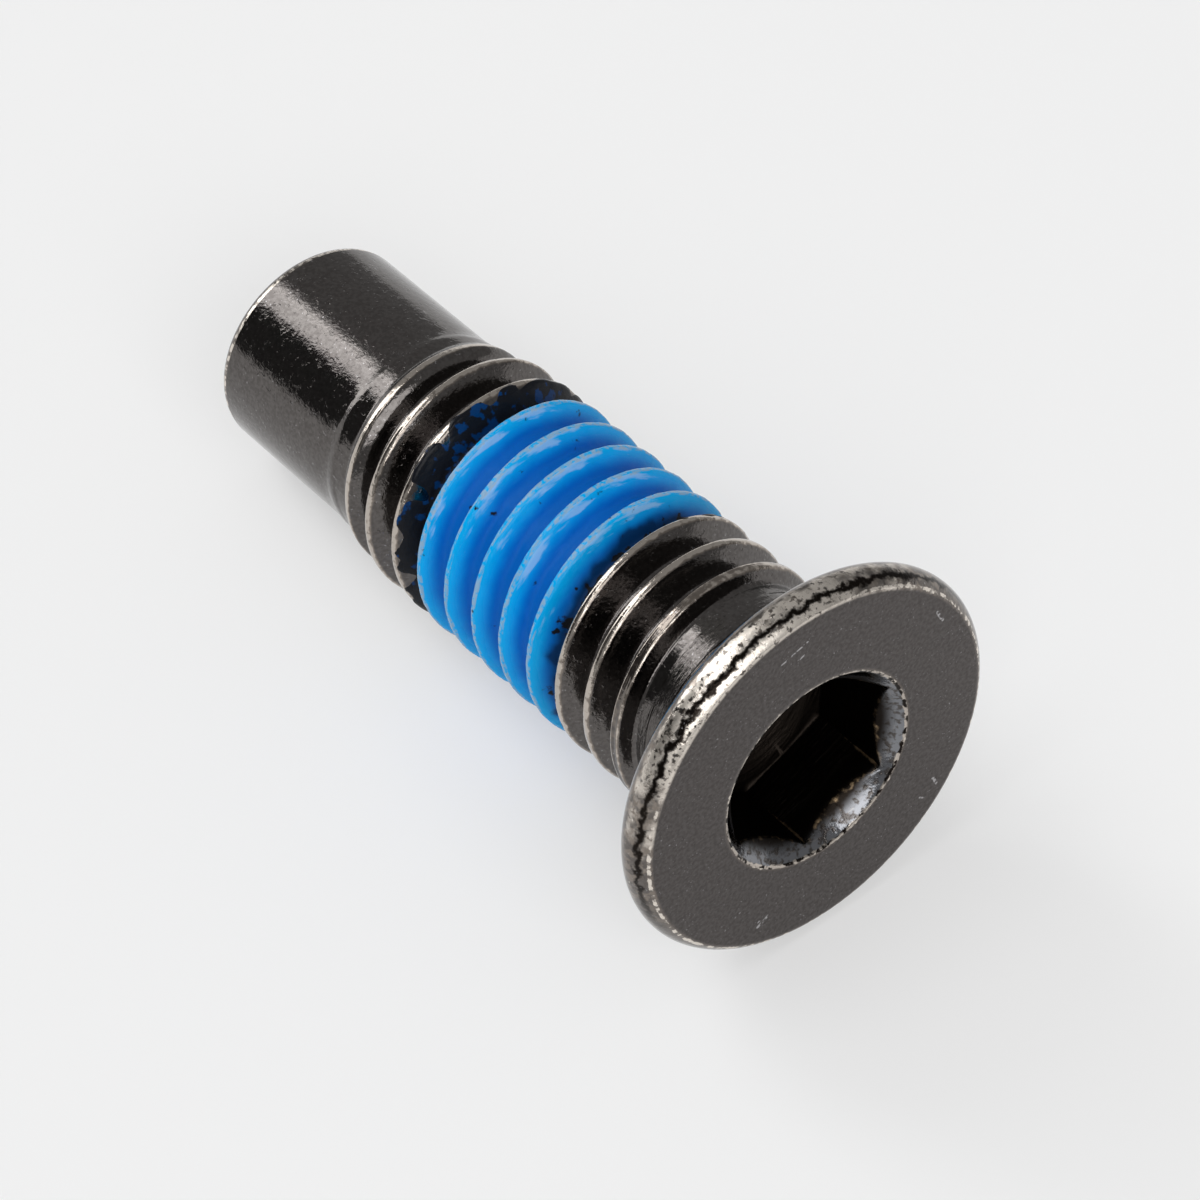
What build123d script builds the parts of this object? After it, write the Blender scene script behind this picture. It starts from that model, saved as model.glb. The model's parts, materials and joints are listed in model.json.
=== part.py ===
from build123d import *
from math import acos, asin, atan2, ceil, cos, degrees, hypot, pi, radians, sin, tan
import os

# Low-head stem bolt, M6 x 1: a hexagon socket in a flat head with a rounded rim,
# a filleted neck, a rolled thread, a plain dog point and a threadlocking patch.
#
# Every solid is drawn upright on the bolt's own axis, which is +Z from the head's
# face (z = 0) to the tip, and is then laid down as the bolt rests: on the rim of
# the head and the edge of the dog point, with the head towards -Y.
# Millimetres and degrees.  Origin: bottom centre of the bolt as it lies.

# ---- thread ----
THREAD_DIA = 6.0
PITCH = 1.0
FLANK_ANGLE = 30.0          # of each flank, from the plane square to the axis
CREST_FLAT = PITCH / 8
THREAD_DEPTH = 0.6134 * PITCH
THREAD_START = 2.95         # face to the middle of the first full crest
THREAD_END = 13.75          # face to the middle of the last full crest
LAND_DEPTH = 0.35 * PITCH   # from the crests in to the plain land the thread runs out onto
RIDGE_RAMP = 0.35           # turns over which the ridge falls to the land
GROOVE_FADE = 0.45          # turns over which the groove rises to the land
TIP_TAPER = 1.85            # length over which the crests fall to the land at the tip
THREAD_CLOCK = 206.4        # turns the thread, so its two ends lie where they do on the bolt

# ---- head ----
HEAD_DIA = 9.7
RIM_RADIUS = 0.55
RIM_SETBACK = 0.48          # centre of the rim's round, behind the face
UNDERSIDE_ANGLE = 15.0      # slope of the head's underside towards the neck
NECK_DIA = 5.26
NECK_FILLET = 1.0

# ---- socket ----
KEY_SIZE = 4.0              # across flats of the hexagon key
KEY_CLEARANCE = 0.04
SOCKET_DEPTH = 2.3
SOCKET_MOUTH_DIA = 5.0      # where the lead-in cone meets the face
SOCKET_MOUTH_ANGLE = 45.0   # of that cone, from the axis
DRILL_POINT_ANGLE = 59.0    # of the drilled bottom, from the axis
SOCKET_CLOCK = 37.7         # turns the hexagon from where a corner points sideways

# ---- dog point ----
DOG_DIA = 5.24
LENGTH = 18.7               # face to the end of the dog point
DOG_EDGE_RADIUS = 0.35

# ---- threadlocking patch ----
PATCH_START = 5.6           # face to the start of the patch, in the groove
PATCH_END = 11.35           # face to its other end
PATCH_FADE = 0.4            # turns over which it thins out at each end
PATCH_END_SHARE = 0.2       # of its full height, where it stops
PATCH_THICKNESS = 0.36      # on the root of the groove

ROUND_STEP = 19.0           # most that one narrow cone of a round turns through

CUT_MARGIN = 0.1            # how far the thread's cutters stand clear of the crests
CUT_OVERLAP = 0.02          # turns that one cutter runs into the next
CUT_LEAN = 0.05             # length that the far edge of a land cutter gains in a turn
RAMP_CLEARANCE = 0.05       # the ramp's cutter starts this far above the crests

THREAD_RADIUS = THREAD_DIA / 2
ROOT_RADIUS = THREAD_RADIUS - THREAD_DEPTH
LAND_RADIUS = THREAD_RADIUS - LAND_DEPTH
HEAD_RADIUS = HEAD_DIA / 2
NECK_RADIUS = NECK_DIA / 2
DOG_RADIUS = DOG_DIA / 2
RIM_CENTRE_RADIUS = HEAD_RADIUS - RIM_RADIUS
DOG_EDGE_CENTRE = (DOG_RADIUS - DOG_EDGE_RADIUS, LENGTH - DOG_EDGE_RADIUS)
THREAD_MIDDLE = (THREAD_START + THREAD_END) / 2
HALF_TURNS = (THREAD_END - THREAD_START) / 2 / PITCH


def ridge_half_width(radius):
    """Half the axial width of the thread's ridge at a radius."""
    return CREST_FLAT / 2 + (THREAD_RADIUS - radius) * tan(radians(FLANK_ANGLE))


# From the last full crest to where the end of the ridge meets the land.
RIDGE_REACH = RIDGE_RAMP * PITCH + ridge_half_width(LAND_RADIUS)


def at(radius, height):
    """A point of the half section."""
    return (radius, 0, height)


def revolved(*corners):
    """A solid of revolution about Z from the corners of its half section."""
    return revolve(make_face(Polyline(*corners, close=True)), Axis.Z)


def round_points(centre, radius, start, end):
    """Points on a round, close enough for narrow cones to stand for its arc.

    The centre is a radius and a height, and angles run from square out to the tip.
    """
    steps = ceil(abs(end - start) / ROUND_STEP)
    angles = [radians(start + (end - start) * step / steps) for step in range(steps + 1)]
    return [at(centre[0] + radius * cos(a), centre[1] + radius * sin(a)) for a in angles]


def neck_round(rim_end):
    """Points on the fillet from the head's underside into the neck."""
    slope = radians(UNDERSIDE_ANGLE)
    corner = rim_end[2] + (rim_end[0] - NECK_RADIUS) * tan(slope)
    tangent = NECK_FILLET * tan((pi / 2 - slope) / 2)
    centre = (NECK_RADIUS + NECK_FILLET, corner + tangent)
    return round_points(centre, NECK_FILLET, 270 - UNDERSIDE_ANGLE, 180)


def blank():
    """The headed blank, with the threaded length at the diameter of the crests."""
    rim_centre = (RIM_CENTRE_RADIUS, RIM_SETBACK)
    face_angle = -degrees(asin(RIM_SETBACK / RIM_RADIUS))
    rim_front = round_points(rim_centre, RIM_RADIUS, face_angle, 0)
    rim_back = round_points(rim_centre, RIM_RADIUS, 0, 90 - UNDERSIDE_ANGLE)
    return revolved(
        at(0, LENGTH),
        at(0, 0),
        *rim_front,
        *rim_back[1:],
        *neck_round(rim_back[-1]),
        at(NECK_RADIUS, THREAD_START - RIDGE_REACH),
        at(THREAD_RADIUS, THREAD_START - RIDGE_REACH),
        at(THREAD_RADIUS, THREAD_END + RIDGE_REACH - TIP_TAPER),
        at(LAND_RADIUS, THREAD_END + RIDGE_REACH),
        at(DOG_RADIUS, THREAD_END + RIDGE_REACH),
        *round_points(DOG_EDGE_CENTRE, DOG_EDGE_RADIUS, 0, 90),
    )


def rail(start, end, from_turn, to_turn):
    """The helical edge from one (radius, offset) to another.

    Offsets are along the axis from the middle of the crest, which passes through
    z = 0 at turn 0.
    """
    turns = to_turn - from_turn
    rise = turns * PITCH + end[1] - start[1]
    slope = atan2(end[0] - start[0], rise)
    helix = Edge.make_helix(rise / cos(slope) / turns, rise, start[0], angle=degrees(slope))
    return helix.moved(Location((0, 0, from_turn * PITCH + start[1]), (0, 0, from_turn * 360)))


def helical_end(turn, section):
    """The flat face that closes a helical solid at one of its ends."""
    place = Pos(0, 0, turn * PITCH) * Rot(Z=turn * 360)
    return place * Face(Wire.make_polygon([at(radius, offset) for radius, offset in section]))


def helical_solid(stations):
    """A solid that carries a closed section along the thread's helix.

    Each station is a turn and the section's corners there, as (radius, offset).
    """
    faces = []
    for (turn, section), (next_turn, next_section) in zip(stations, stations[1:]):
        rails = [rail(a, b, turn, next_turn) for a, b in zip(section, next_section)]
        faces += [Face.make_surface_from_curves(a, b) for a, b in zip(rails, rails[1:] + rails[:1])]
    faces += [helical_end(*stations[0]), helical_end(*stations[-1])]
    return Solid(Shell(faces))


def turn_by_turn(first, last):
    """The turns from first to last, in steps of at most one turn."""
    steps = ceil(last - first)
    return [first + (last - first) * step / steps for step in range(steps + 1)]


def groove_section(bottom_radius):
    """Section of the groove on the tip side of the ridge, down to a radius."""
    top_radius = THREAD_RADIUS + CUT_MARGIN
    bottom = PITCH / 2 - ridge_half_width(bottom_radius)
    top = PITCH / 2 - ridge_half_width(top_radius)
    return [
        (bottom_radius, PITCH / 2 - bottom),
        (bottom_radius, PITCH / 2 + bottom),
        (top_radius, PITCH / 2 + top),
        (top_radius, PITCH / 2 - top),
    ]


def groove():
    """The thread's groove, which rises to the land at both ends, as a cutter."""
    faded = groove_section(THREAD_RADIUS - CUT_MARGIN)
    full = groove_section(ROOT_RADIUS)
    return helical_solid(
        [
            (-HALF_TURNS - GROOVE_FADE, faded),
            *[(turn, full) for turn in turn_by_turn(-HALF_TURNS, HALF_TURNS - 1)],
            (HALF_TURNS - 1 + GROOVE_FADE, faded),
        ]
    )


def land_section(turn, bottom_radius):
    """Section of what is cleared on the tip side of the ridge, down to a radius.

    It reaches just past the end of the ridge, whichever turn it is drawn at, and
    keeps a slight rise so that its far edge is still a helix.
    """
    top_radius = THREAD_RADIUS + CUT_MARGIN
    far_end = HALF_TURNS * PITCH + RIDGE_REACH + CUT_MARGIN
    width = far_end - turn * PITCH - (HALF_TURNS + RIDGE_RAMP - turn) * CUT_LEAN
    return [
        (bottom_radius, ridge_half_width(bottom_radius)),
        (bottom_radius, width),
        (top_radius, width),
        (top_radius, ridge_half_width(top_radius)),
    ]


def land_cutters():
    """What leaves the plain land on the tip side of the thread.

    The first clears the tip side of the ridge's last turn, and the second ramps
    the end of the ridge down to the land.
    """
    ramp_start = HALF_TURNS - 1
    ramp_end = ramp_start + RIDGE_RAMP
    side_turns = [ramp_end - CUT_OVERLAP, ramp_end + 1 - 2 * CUT_OVERLAP]
    side = [(turn, land_section(turn, LAND_RADIUS)) for turn in side_turns]
    ramp = [
        (ramp_start, land_section(ramp_start, THREAD_RADIUS + RAMP_CLEARANCE)),
        (ramp_end, land_section(ramp_end, LAND_RADIUS)),
        (ramp_end + CUT_OVERLAP, land_section(ramp_end + CUT_OVERLAP, LAND_RADIUS)),
    ]
    return [helical_solid(side), helical_solid(ramp)]


def thread_cutters():
    """Everything that is cut from the blank to form the thread."""
    tip_end = land_cutters()
    head_end = [Rot(X=180) * cutter for cutter in land_cutters()]
    place = Pos(0, 0, THREAD_MIDDLE) * Rot(Z=THREAD_CLOCK)
    return [place * cutter for cutter in [groove(), *tip_end, *head_end]]


def socket():
    """The hexagon socket with its lead-in cone and drilled bottom, as a cutter."""
    flat_radius = (KEY_SIZE + KEY_CLEARANCE) / 2
    corner_radius = flat_radius / cos(radians(30))
    hexagon = extrude(RegularPolygon(corner_radius, 6), SOCKET_DEPTH)
    mouth_radius = SOCKET_MOUTH_DIA / 2
    mouth_depth = mouth_radius / tan(radians(SOCKET_MOUTH_ANGLE))
    mouth = revolved(at(0, 0), at(mouth_radius, 0), at(0, mouth_depth))
    point_depth = flat_radius / tan(radians(DRILL_POINT_ANGLE))
    drill = revolved(
        at(0, 0),
        at(flat_radius, 0),
        at(flat_radius, SOCKET_DEPTH),
        at(0, SOCKET_DEPTH + point_depth),
    )
    return Rot(Z=SOCKET_CLOCK) * (hexagon + mouth + drill)


def patch_section(share):
    """Section of the patch that fills the groove to a share of its full height."""
    top_radius = ROOT_RADIUS + share * PATCH_THICKNESS
    bottom = PITCH / 2 - ridge_half_width(ROOT_RADIUS)
    top = PITCH / 2 - ridge_half_width(top_radius)
    return [
        (ROOT_RADIUS, PITCH / 2 - bottom),
        (ROOT_RADIUS, PITCH / 2 + bottom),
        (top_radius, PITCH / 2 + top),
        (top_radius, PITCH / 2 - top),
    ]


def threadlocking_patch():
    """Dried threadlocker in several turns of the groove, thinner at both ends."""
    first, last = [(end - THREAD_MIDDLE) / PITCH - 0.5 for end in (PATCH_START, PATCH_END)]
    full_turns = turn_by_turn(first + PATCH_FADE, last - PATCH_FADE)
    strip = helical_solid(
        [
            (first, patch_section(PATCH_END_SHARE)),
            *[(turn, patch_section(1)) for turn in full_turns],
            (last, patch_section(PATCH_END_SHARE)),
        ]
    )
    return Pos(0, 0, THREAD_MIDDLE) * Rot(Z=THREAD_CLOCK) * strip


def rest_tilt():
    """How far the axis falls towards the tip when the bolt lies down."""
    along = DOG_EDGE_CENTRE[1] - RIM_SETBACK
    across = DOG_EDGE_CENTRE[0] - RIM_CENTRE_RADIUS
    normal = atan2(across, along) + acos((RIM_RADIUS - DOG_EDGE_RADIUS) / hypot(along, across))
    return 90 - degrees(normal)


lying = Rot(X=-(90 + rest_tilt()))
extent = (lying * blank()).bounding_box()
rest = Pos(0, -extent.center().Y, -extent.min.Z) * lying

bolt = blank()
for cutter in thread_cutters():
    bolt -= cutter
bolt -= socket()

os.makedirs("parts", exist_ok=True)
export_step(rest * bolt, "parts/bolt.step")
export_step(rest * threadlocking_patch(), "parts/thread_patch.step")
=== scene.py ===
"""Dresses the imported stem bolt: a finer bolt, its threadlocking film, floor, light and camera.

The bolt is drawn in its own frame, in millimetres: z runs along its axis from the
head's face to the tip, and turns are counted round that axis from x.
"""

import json
import logging
import math
from dataclasses import dataclass, field
from enum import Enum

import bmesh
import bpy
import numpy as np
from mathutils import Euler, Matrix, Vector


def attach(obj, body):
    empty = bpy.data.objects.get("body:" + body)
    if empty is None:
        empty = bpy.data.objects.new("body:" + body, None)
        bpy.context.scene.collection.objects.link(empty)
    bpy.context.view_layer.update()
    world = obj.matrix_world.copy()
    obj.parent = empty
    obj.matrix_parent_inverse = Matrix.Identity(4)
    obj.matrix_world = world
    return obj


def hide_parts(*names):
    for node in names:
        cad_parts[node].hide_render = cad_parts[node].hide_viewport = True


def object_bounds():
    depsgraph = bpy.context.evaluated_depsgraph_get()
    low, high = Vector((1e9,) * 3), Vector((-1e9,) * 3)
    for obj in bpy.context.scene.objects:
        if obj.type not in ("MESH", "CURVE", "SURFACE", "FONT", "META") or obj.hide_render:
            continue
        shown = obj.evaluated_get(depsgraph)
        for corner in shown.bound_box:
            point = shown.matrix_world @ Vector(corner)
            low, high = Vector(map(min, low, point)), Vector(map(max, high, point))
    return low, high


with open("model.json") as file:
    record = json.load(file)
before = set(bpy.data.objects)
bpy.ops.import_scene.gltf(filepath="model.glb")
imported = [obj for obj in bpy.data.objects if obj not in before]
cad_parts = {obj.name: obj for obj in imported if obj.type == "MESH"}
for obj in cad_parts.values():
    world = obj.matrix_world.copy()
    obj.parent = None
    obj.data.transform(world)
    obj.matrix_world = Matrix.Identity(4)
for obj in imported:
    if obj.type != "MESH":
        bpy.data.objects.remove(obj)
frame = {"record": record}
CAD_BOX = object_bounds()

log = logging.getLogger("stem_bolt")

MM = 0.001
COLUMNS = 180               # vertices round every ring, a multiple of the hexagon's six sides
ROWS_PER_PITCH = 24         # rows of vertices in one turn of the thread
MERGE_GAP = 0.0004          # mm, below which two vertices are one
SLIVER = 0.004              # mm: a row of vertices this close to an end lies on it
SOCKET_CLOCK = 37.7         # degrees from x to a corner of the hexagon
FIRST_COLUMN = SOCKET_CLOCK / 360     # turn of the first column, so that corners fall on columns
HEXAGON_STEP = 60           # degrees from one corner of the hexagon to the next


class Slot(Enum):
    """The record's material slots."""

    STEEL = "black_nickel_steel"
    FILM = "threadlocker"


class Wear(Enum):
    """Names of the vertex attributes that the finishes read."""

    CREST = "crest"
    EDGE = "edge"
    SHOULDER = "shoulder"


@dataclass(frozen=True)
class Field:
    """A number that a node tree works out, with arithmetic that adds Math nodes."""

    tree: bpy.types.NodeTree
    socket: bpy.types.NodeSocket

    def math(self, operation: str, *others: "Field | float") -> "Field":
        """Adds one Math node.

        Args:
            operation: the Math node's operation.
            others: what its next inputs take.

        Returns:
            The node's result.
        """
        node = self.tree.nodes.new("ShaderNodeMath")
        node.operation = operation
        for value, end in zip((self, *others), node.inputs):
            plug(self.tree, value, end)
        return Field(self.tree, node.outputs[0])

    def __add__(self, other: "Field | float") -> "Field":
        """Sum."""
        return self.math("ADD", other)

    def __radd__(self, other: float) -> "Field":
        """Sum with a plain number first."""
        return self.math("ADD", other)

    def __sub__(self, other: "Field | float") -> "Field":
        """Difference."""
        return self.math("SUBTRACT", other)

    def __rsub__(self, other: float) -> "Field":
        """Difference from a plain number."""
        return (self * -1.0) + other

    def __mul__(self, other: "Field | float") -> "Field":
        """Product."""
        return self.math("MULTIPLY", other)

    def __rmul__(self, other: float) -> "Field":
        """Product with a plain number first."""
        return self.math("MULTIPLY", other)

    def __truediv__(self, other: "Field | float") -> "Field":
        """Quotient."""
        return self.math("DIVIDE", other)

    def abs(self) -> "Field":
        """Size without the sign."""
        return self.math("ABSOLUTE")

    def floor(self) -> "Field":
        """Whole number below."""
        return self.math("FLOOR")

    def least(self, other: "Field | float", soften: float = 0.0) -> "Field":
        """The smaller of two, with the corner between them rounded over a distance."""
        return self.math("SMOOTH_MIN", other, soften) if soften else self.math("MINIMUM", other)

    def most(self, other: "Field | float", soften: float = 0.0) -> "Field":
        """The larger of two, with the corner between them rounded over a distance."""
        return self.math("SMOOTH_MAX", other, soften) if soften else self.math("MAXIMUM", other)

    def ramp(self, start: float, end: float) -> "Field":
        """A smooth rise from 0 at start to 1 at end, which may be the smaller.

        Args:
            start: the value that gives 0.
            end: the value that gives 1.

        Returns:
            The eased share.
        """
        share = ((self - start) / (end - start)).most(0.0).least(1.0)
        return share * share * (3.0 - 2.0 * share)


def plug(tree: bpy.types.NodeTree, value: object, end: bpy.types.NodeSocket) -> None:
    """Gives an input its value: a link from a field or socket, or a plain number or colour.

    Args:
        tree: the tree that holds the input.
        value: a Field, a socket, a number or a tuple.
        end: the input.
    """
    if isinstance(value, Field):
        tree.links.new(value.socket, end)
    elif isinstance(value, bpy.types.NodeSocket):
        tree.links.new(value, end)
    else:
        end.default_value = value


def add(
    tree: bpy.types.NodeTree, kind: str, inputs: dict | None = None, **settings: object
) -> bpy.types.Node:
    """Adds a node with its settings and inputs.

    Args:
        tree: the tree to add it to.
        kind: the node's type.
        inputs: what each named or numbered input takes.
        settings: the node's own properties.

    Returns:
        The node.
    """
    node = tree.nodes.new(kind)
    for name, value in settings.items():
        setattr(node, name, value)
    for name, value in (inputs or {}).items():
        plug(tree, value, node.inputs[name])
    return node


# ---------------------------------------------------------------- the bolt's own frame


@dataclass(frozen=True)
class BoltFrame:
    """Where the bolt lies: the middle of the head's face and the way to the tip."""

    face: Vector
    along: Vector

    @classmethod
    def from_record(cls, record: dict) -> "BoltFrame":
        """Reads the frame from the socket's mount.

        Args:
            record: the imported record.

        Returns:
            The bolt's frame.
        """
        mount = next(m for m in record["mounts"] if m["name"] == "key_socket")
        return cls(Vector(mount["pos_m"]), -Vector(mount["axis"]).normalized())

    def matrix(self) -> Matrix:
        """From the bolt's millimetres to the row's metres."""
        across = Vector((1, 0, 0))
        upright = self.along.cross(across)
        turned = Matrix((across, upright, self.along)).transposed()
        return Matrix.Translation(self.face) @ (turned * MM).to_4x4()

    def euler(self) -> Euler:
        """The frame's turn, for a Mapping node."""
        return self.matrix().to_3x3().normalized().to_euler()


BOLT_FRAME = BoltFrame.from_record(frame["record"])


# ---------------------------------------------------------------- thread


@dataclass(frozen=True)
class Thread:
    """The rolled thread: its radius at any place, as fields of a node tree."""

    crest_radius: float = 3.0
    depth: float = 0.6134
    pitch: float = 1.0
    flank_angle: float = 30.0
    start: float = 2.95          # middle of the first full crest
    end: float = 13.75           # middle of the last full crest
    land_radius: float = 2.65
    ridge_ramp: float = 0.35     # turns over which the ridge falls to the land
    groove_fade: float = 0.45    # turns over which the groove rises to the land
    tip_taper: float = 1.85
    dog_radius: float = 2.62
    clock: float = 206.4
    crest_round: float = 0.045
    root_round: float = 0.07
    part_formed: float = 1.0     # turns at the head's end whose crest the rolling left wide
    part_formed_width: float = 0.07
    crease_depth: float = 0.05
    start_slope: float = 4.0     # steepest rise from the neck, so that both meet in one ring
    crease_reach: float = 0.07   # half the width of the crease in a part-formed crest
    end_round: float = 0.02      # where the crests meet the taper at the tip

    @property
    def root_radius(self) -> float:
        """Radius of the groove's bottom."""
        return self.crest_radius - self.depth

    @property
    def crest_flat(self) -> float:
        """Width of the crest."""
        return self.pitch / 8

    @property
    def middle(self) -> float:
        """Half way along the thread."""
        return (self.start + self.end) / 2

    @property
    def half_turns(self) -> float:
        """Turns from the middle to the last full crest."""
        return (self.end - self.start) / 2 / self.pitch

    @property
    def reach(self) -> float:
        """From the last full crest to where the end of the ridge meets the land."""
        slope = math.tan(math.radians(self.flank_angle))
        foot = self.crest_flat / 2 + (self.crest_radius - self.land_radius) * slope
        return self.ridge_ramp * self.pitch + foot

    @property
    def first_height(self) -> float:
        """Where the land begins at the neck."""
        return self.start - self.reach

    @property
    def last_height(self) -> float:
        """Where the land ends at the dog point."""
        return self.end + self.reach

    def first_row(self, lowest: float) -> float:
        """Height of a first row on the helix that starts at or below a height.

        The crest's two corners then fall on rows of vertices.

        Args:
            lowest: the height that every column has to reach.

        Returns:
            The row's height at turn 0.
        """
        on_ridge = self.middle - self.clock / 360 * self.pitch
        half_row = self.pitch / ROWS_PER_PITCH / 2
        last_column = (1 + FIRST_COLUMN) * self.pitch
        turns = math.ceil((on_ridge + half_row + last_column - lowest) / self.pitch)
        return on_ridge + half_row - turns * self.pitch

    def rows(self, lowest: float, highest: float) -> int:
        """How many rows cover two heights in every column."""
        first_column = self.first_row(lowest) + FIRST_COLUMN * self.pitch
        return math.ceil((highest - first_column) / self.pitch * ROWS_PER_PITCH) + 1

    def sizes(self) -> dict[str, float]:
        """The sizes that a tree takes as its named inputs to wind this thread."""
        return {
            "Crest radius": self.crest_radius,
            "Root radius": self.root_radius,
            "Land radius": self.land_radius,
            "Dog radius": self.dog_radius,
            "Depth": self.depth,
            "Pitch": self.pitch,
            "Half crest flat": self.crest_flat / 2,
            "Flank slope": math.tan(math.radians(self.flank_angle)),
            "Middle": self.middle,
            "Half turns": self.half_turns,
            "Clock": self.clock / 360,
            "Land start": self.first_height,
            "Land end": self.last_height,
            "Ridge ramp": self.ridge_ramp,
            "Groove fade": self.groove_fade,
            "Tip taper": self.tip_taper,
            "Part formed": self.part_formed,
            "Part formed width": self.part_formed_width,
            "Crease depth": self.crease_depth,
        }

    def fields(self, rule: "RuleTree", height: Field, turn: Field) -> dict[str, Field]:
        """Works out the thread's surface.

        Args:
            rule: the tree, whose inputs hold this thread's sizes.
            height: distance from the face.
            turn: turns round the axis, from 0 to 1.

        Returns:
            The radius, how near it is to the crest, and how far it is from the
            nearest crest's middle towards the tip.
        """
        size = rule.input
        half, pitch = size("Half turns"), size("Pitch")
        crest_radius, land_radius = size("Crest radius"), size("Land radius")
        turned = turn - size("Clock")
        place = (height - size("Middle")) / pitch - turned
        nearest = (place + 0.5).floor()
        offset = (place - nearest) * pitch
        ridge_turn = nearest + turned
        groove_turn = place.floor() + turned

        part = (ridge_turn * -1.0).ramp(half - size("Part formed"), half)
        half_flat = size("Half crest flat") + part * size("Part formed width")
        flank = crest_radius - (offset.abs() - half_flat) / size("Flank slope")
        crease = (1.0 - offset.abs() / self.crease_reach).most(0.0) * part * size("Crease depth")
        ridge = flank.least(crest_radius - crease, self.crest_round)

        fall = ((ridge_turn.abs() - half) / size("Ridge ramp")).most(0.0).least(1.0)
        taper = ((size("Land end") - height) / size("Tip taper")).most(0.0).least(1.0)
        share = (1.0 - fall) * taper
        proud = (ridge - land_radius).most(0.0)
        ridge = ridge.least(land_radius) + proud * share

        rise = (groove_turn * -1.0 - half).most(groove_turn - (half - 1.0)) / size("Groove fade")
        bottom = size("Root radius") + rise.most(0.0).least(1.0) * size("Depth")
        last = size("Dog radius") + taper * (crest_radius - size("Dog radius"))
        radius = ridge.most(bottom.least(land_radius), self.root_round).least(last, self.end_round)
        radius = radius.least(land_radius + (height - size("Land start")) * self.start_slope)

        full = self.crest_radius - self.land_radius
        formed = share.ramp(0.05, 0.3)
        crest = proud.ramp(full * 0.72, full * 0.98) * formed
        edges = (offset.abs() - half_flat).abs().ramp(0.035, 0.01) * formed
        crest = crest + part * (edges * 0.9 - crest)
        return {"radius": radius, "crest": crest, "offset": offset}


THREAD = Thread()


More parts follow.
